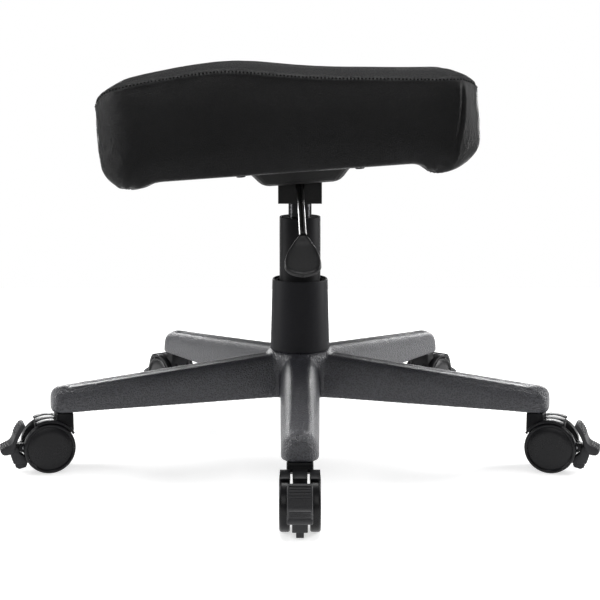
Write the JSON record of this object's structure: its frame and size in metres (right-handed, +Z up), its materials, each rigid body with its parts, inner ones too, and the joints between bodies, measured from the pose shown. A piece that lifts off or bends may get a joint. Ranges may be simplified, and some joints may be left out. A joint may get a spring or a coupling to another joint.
{
  "type": "rolling height-adjustable stool",
  "caption": "Rolling stool with a tilted padded seat pad, gas lift under stepped covers, release lever, star base and braked twin-wheel casters.",
  "frame": {"origin": "centre of the bounding box's underside, on the floor below the middle of the base", "axes": "+Z up; +X along the seat towards its thinner, higher end; -Y towards the release lever's paddle and the front caster"},
  "size_m": [0.7096, 0.6748, 0.4746],
  "materials": {
    "base_nylon": "satin",
    "column_steel": "satin",
    "bush_acetal": "satin",
    "bearing_steel": "satin",
    "rod_steel": "polished",
    "clip_steel": "satin",
    "cylinder_steel": "polished",
    "cover_plastic": "satin",
    "inner_cover_plastic": "satin",
    "housing_steel": "satin",
    "socket_steel": "satin",
    "button_steel": "satin",
    "lever_steel": "satin",
    "paddle_plastic": "satin",
    "pan_steel": "satin",
    "bolt_steel": "satin",
    "board_plywood": "matte",
    "dust_cloth_fabric": "matte",
    "seat_foam_grey": "matte",
    "seat_vinyl": "satin",
    "caster_nylon": "gloss",
    "wheel_nylon": "gloss",
    "pedal_nylon": "matte",
    "pin_steel": "satin"
  },
  "bodies": {
    "base": {"star_base": "base_nylon", "gas_column_tube": "column_steel", "guide_bush": "bush_acetal", "thrust_bearing": "bearing_steel", "outer_cover_sleeve": "cover_plastic", "inner_cover_sleeve": "inner_cover_plastic", "caster_stem_front": "pin_steel", "caster_stem_right": "pin_steel", "caster_stem_back_right": "pin_steel", "caster_stem_back_left": "pin_steel", "caster_stem_left": "pin_steel"},
    "rod": {"piston_rod": "rod_steel", "rod_clip": "clip_steel"},
    "seat": {"lift_cylinder": "cylinder_steel", "lift_housing": "housing_steel", "taper_socket": "socket_steel", "seat_pan": "pan_steel", "seat_bolt_1": "bolt_steel", "seat_bolt_2": "bolt_steel", "seat_bolt_3": "bolt_steel", "seat_bolt_4": "bolt_steel", "seat_board": "board_plywood", "dust_cloth": "dust_cloth_fabric", "seat_foam": "seat_foam_grey", "seat_cover": "seat_vinyl"},
    "lever": {"lever_rod": "lever_steel", "lever_paddle": "paddle_plastic"},
    "button": {"release_button": "button_steel"},
    "caster_front": {"caster_body_front": "caster_nylon", "caster_axle_front": "pin_steel", "brake_pin_front": "pin_steel"},
    "wheel_front_a": {"wheel_front_a": "wheel_nylon"},
    "wheel_front_b": {"wheel_front_b": "wheel_nylon"},
    "pedal_front": {"brake_pedal_front": "pedal_nylon"},
    "caster_right": {"caster_body_right": "caster_nylon", "caster_axle_right": "pin_steel", "brake_pin_right": "pin_steel"},
    "wheel_right_a": {"wheel_right_a": "wheel_nylon"},
    "wheel_right_b": {"wheel_right_b": "wheel_nylon"},
    "pedal_right": {"brake_pedal_right": "pedal_nylon"},
    "caster_back_right": {"caster_body_back_right": "caster_nylon", "caster_axle_back_right": "pin_steel", "brake_pin_back_right": "pin_steel"},
    "wheel_back_right_a": {"wheel_back_right_a": "wheel_nylon"},
    "wheel_back_right_b": {"wheel_back_right_b": "wheel_nylon"},
    "pedal_back_right": {"brake_pedal_back_right": "pedal_nylon"},
    "caster_back_left": {"caster_body_back_left": "caster_nylon", "caster_axle_back_left": "pin_steel", "brake_pin_back_left": "pin_steel"},
    "wheel_back_left_a": {"wheel_back_left_a": "wheel_nylon"},
    "wheel_back_left_b": {"wheel_back_left_b": "wheel_nylon"},
    "pedal_back_left": {"brake_pedal_back_left": "pedal_nylon"},
    "caster_left": {"caster_body_left": "caster_nylon", "caster_axle_left": "pin_steel", "brake_pin_left": "pin_steel"},
    "wheel_left_a": {"wheel_left_a": "wheel_nylon"},
    "wheel_left_b": {"wheel_left_b": "wheel_nylon"},
    "pedal_left": {"brake_pedal_left": "pedal_nylon"}
  },
  "joints": [
    {"name": "seat_swivel", "type": "hinge", "parent": "base", "child": "rod", "pos_m": [0, 0.0314, 0.0665], "axis": [0, 0, 1], "continuous": true},
    {"name": "seat_lift", "type": "slide", "parent": "rod", "child": "seat", "axis": [0, 0, 1], "range_m": [-0.012, 0.1]},
    {"name": "lift_lever", "type": "hinge", "parent": "seat", "child": "lever", "pos_m": [0, -0.0046, 0.327], "axis": [-1, 0, 0], "range_deg": [0, 7.2], "stiffness_Nm_per_rad": 2, "springref_deg": -11.46},
    {"name": "release_button", "type": "slide", "parent": "seat", "child": "button", "axis": [0, 0, -1], "range_m": [0, 0.0052]},
    {"name": "caster_swivel_front", "type": "hinge", "parent": "base", "child": "caster_front", "pos_m": [0, -0.2616, 0.03], "axis": [0, 0, 1], "continuous": true},
    {"name": "wheel_spin_front_a", "type": "hinge", "parent": "caster_front", "child": "wheel_front_a", "pos_m": [0, -0.2811, 0.03], "axis": [1, 0, 0], "continuous": true},
    {"name": "wheel_spin_front_b", "type": "hinge", "parent": "caster_front", "child": "wheel_front_b", "pos_m": [0, -0.2811, 0.03], "axis": [1, 0, 0], "continuous": true},
    {"name": "brake_pedal_front", "type": "hinge", "parent": "caster_front", "child": "pedal_front", "pos_m": [0, -0.3101, 0.03], "axis": [1, 0, 0], "range_deg": [0, 8]},
    {"name": "caster_swivel_right", "type": "hinge", "parent": "base", "child": "caster_right", "pos_m": [0.27866, -0.05915, 0.03], "axis": [0, 0, 1], "continuous": true},
    {"name": "wheel_spin_right_a", "type": "hinge", "parent": "caster_right", "child": "wheel_right_a", "pos_m": [0.2972, -0.06517, 0.03], "axis": [0.309, 0.9511, 0], "continuous": true},
    {"name": "wheel_spin_right_b", "type": "hinge", "parent": "caster_right", "child": "wheel_right_b", "pos_m": [0.2972, -0.06517, 0.03], "axis": [0.309, 0.9511, 0], "continuous": true},
    {"name": "brake_pedal_right", "type": "hinge", "parent": "caster_right", "child": "pedal_right", "pos_m": [0.32479, -0.07413, 0.03], "axis": [0.309, 0.9511, 0], "range_deg": [0, 8]},
    {"name": "caster_swivel_back_right", "type": "hinge", "parent": "base", "child": "caster_back_right", "pos_m": [0.17222, 0.26844, 0.03], "axis": [0, 0, 1], "continuous": true},
    {"name": "wheel_spin_back_right_a", "type": "hinge", "parent": "caster_back_right", "child": "wheel_back_right_a", "pos_m": [0.18368, 0.28421, 0.03], "axis": [-0.809, 0.5878, 0], "continuous": true},
    {"name": "wheel_spin_back_right_b", "type": "hinge", "parent": "caster_back_right", "child": "wheel_back_right_b", "pos_m": [0.18368, 0.28421, 0.03], "axis": [-0.809, 0.5878, 0], "continuous": true},
    {"name": "brake_pedal_back_right", "type": "hinge", "parent": "caster_back_right", "child": "pedal_back_right", "pos_m": [0.20073, 0.30768, 0.03], "axis": [-0.809, 0.5878, 0], "range_deg": [0, 8]},
    {"name": "caster_swivel_back_left", "type": "hinge", "parent": "base", "child": "caster_back_left", "pos_m": [-0.17222, 0.26844, 0.03], "axis": [0, 0, 1], "continuous": true},
    {"name": "wheel_spin_back_left_a", "type": "hinge", "parent": "caster_back_left", "child": "wheel_back_left_a", "pos_m": [-0.18368, 0.28421, 0.03], "axis": [-0.809, -0.5878, 0], "continuous": true},
    {"name": "wheel_spin_back_left_b", "type": "hinge", "parent": "caster_back_left", "child": "wheel_back_left_b", "pos_m": [-0.18368, 0.28421, 0.03], "axis": [-0.809, -0.5878, 0], "continuous": true},
    {"name": "brake_pedal_back_left", "type": "hinge", "parent": "caster_back_left", "child": "pedal_back_left", "pos_m": [-0.20073, 0.30768, 0.03], "axis": [-0.809, -0.5878, 0], "range_deg": [0, 8]},
    {"name": "caster_swivel_left", "type": "hinge", "parent": "base", "child": "caster_left", "pos_m": [-0.27866, -0.05915, 0.03], "axis": [0, 0, 1], "continuous": true},
    {"name": "wheel_spin_left_a", "type": "hinge", "parent": "caster_left", "child": "wheel_left_a", "pos_m": [-0.2972, -0.06517, 0.03], "axis": [0.309, -0.9511, 0], "continuous": true},
    {"name": "wheel_spin_left_b", "type": "hinge", "parent": "caster_left", "child": "wheel_left_b", "pos_m": [-0.2972, -0.06517, 0.03], "axis": [0.309, -0.9511, 0], "continuous": true},
    {"name": "brake_pedal_left", "type": "hinge", "parent": "caster_left", "child": "pedal_left", "pos_m": [-0.32479, -0.07413, 0.03], "axis": [0.309, -0.9511, 0], "range_deg": [0, 8]}
  ],
  "couplings": [
    {"joint": "release_button", "follows": "lift_lever", "m_per_rad": 0.04}
  ]
}
